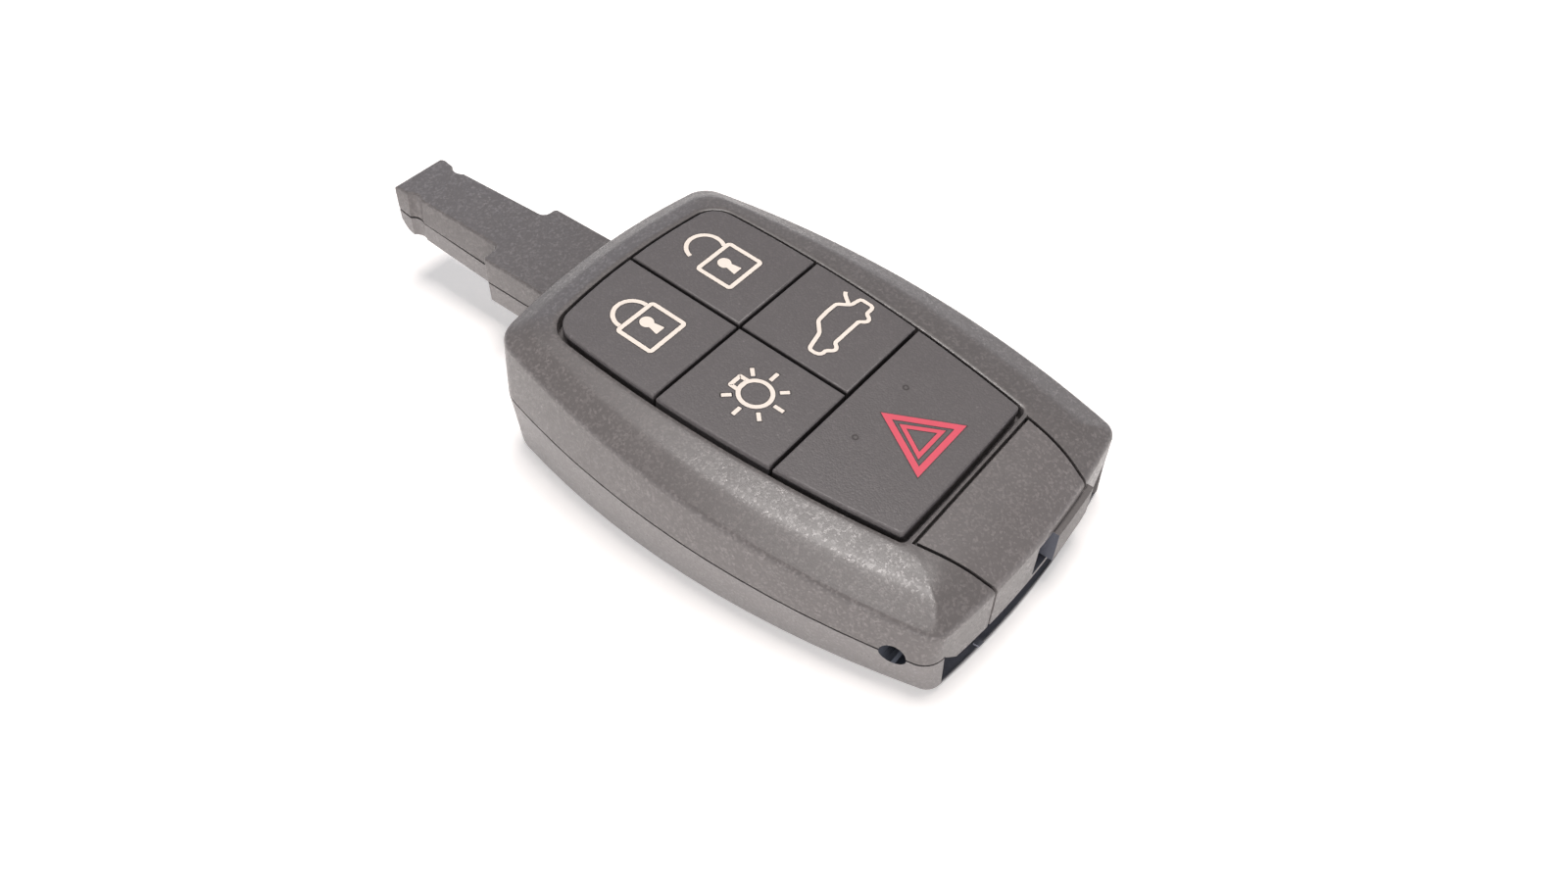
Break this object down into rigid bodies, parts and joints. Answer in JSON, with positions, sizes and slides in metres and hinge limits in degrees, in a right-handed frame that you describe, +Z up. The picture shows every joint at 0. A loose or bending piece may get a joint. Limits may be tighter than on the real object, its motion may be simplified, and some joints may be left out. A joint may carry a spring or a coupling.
{
  "type": "car key fob",
  "caption": "Wedge-shaped car key fob with a stepped plug-in nose, framed push keys, an end panel with a sprung catch and an open slot for an emergency blade.",
  "frame": {"origin": "centre of the bounding box at its lowest level, on the flat base", "axes": "+Z up from the base, +Y along the fob towards the nose, +X to the right as seen from above with the nose away"},
  "size_m": [0.0408, 0.0894, 0.0176],
  "materials": {
    "shell": "fine matte grain",
    "key": "matte",
    "mat": "matte silicone",
    "board": "satin lacquer",
    "switch": "matte",
    "chip": "matte",
    "steel": "satin",
    "brass": "satin",
    "ferrite": "matte",
    "bobbin": "matte",
    "wire": "enamelled copper",
    "seal": "matte"
  },
  "bodies": {
    "housing": {"upper_shell": "shell", "lower_shell": "shell", "end_panel": "shell", "keypad_mat": "mat", "circuit_board": "board", "lock_switch": "switch", "unlock_switch": "switch", "light_switch": "switch", "trunk_switch": "switch", "hazard_switch": "switch", "controller_chip": "chip", "radio_chip": "chip", "crystal": "steel", "antenna": "brass", "coin_cell": "steel", "contact_positive": "brass", "contact_negative": "brass", "coil_core": "ferrite", "coil_bobbin": "bobbin", "coil_winding": "wire", "coil_leads": "wire", "board_screws": "steel", "seal_ring": "seal", "catch_spring": "steel"},
    "lock_key": {"lock_button": "key"},
    "unlock_key": {"unlock_button": "key"},
    "light_key": {"light_button": "key"},
    "trunk_key": {"trunk_button": "key"},
    "hazard_key": {"hazard_button": "key"},
    "catch": {"catch": "shell"}
  },
  "joints": [
    {"name": "lock_press", "type": "slide", "parent": "housing", "child": "lock_key", "axis": [0, 0.1227, -0.9924], "range_m": [0, 0.0005], "stiffness_N_per_m": 4000},
    {"name": "unlock_press", "type": "slide", "parent": "housing", "child": "unlock_key", "axis": [0, 0.1227, -0.9924], "range_m": [0, 0.0005], "stiffness_N_per_m": 4000},
    {"name": "light_press", "type": "slide", "parent": "housing", "child": "light_key", "axis": [0, 0.1227, -0.9924], "range_m": [0, 0.0005], "stiffness_N_per_m": 4000},
    {"name": "trunk_press", "type": "slide", "parent": "housing", "child": "trunk_key", "axis": [0, 0.1227, -0.9924], "range_m": [0, 0.0005], "stiffness_N_per_m": 4000},
    {"name": "hazard_press", "type": "slide", "parent": "housing", "child": "hazard_key", "axis": [0, 0.1227, -0.9924], "range_m": [0, 0.0005], "stiffness_N_per_m": 4000},
    {"name": "catch_slide", "type": "slide", "parent": "housing", "child": "catch", "axis": [-1, 0, 0], "range_m": [0, 0.0024], "stiffness_N_per_m": 500, "deforming": ["catch_spring"]}
  ]
}
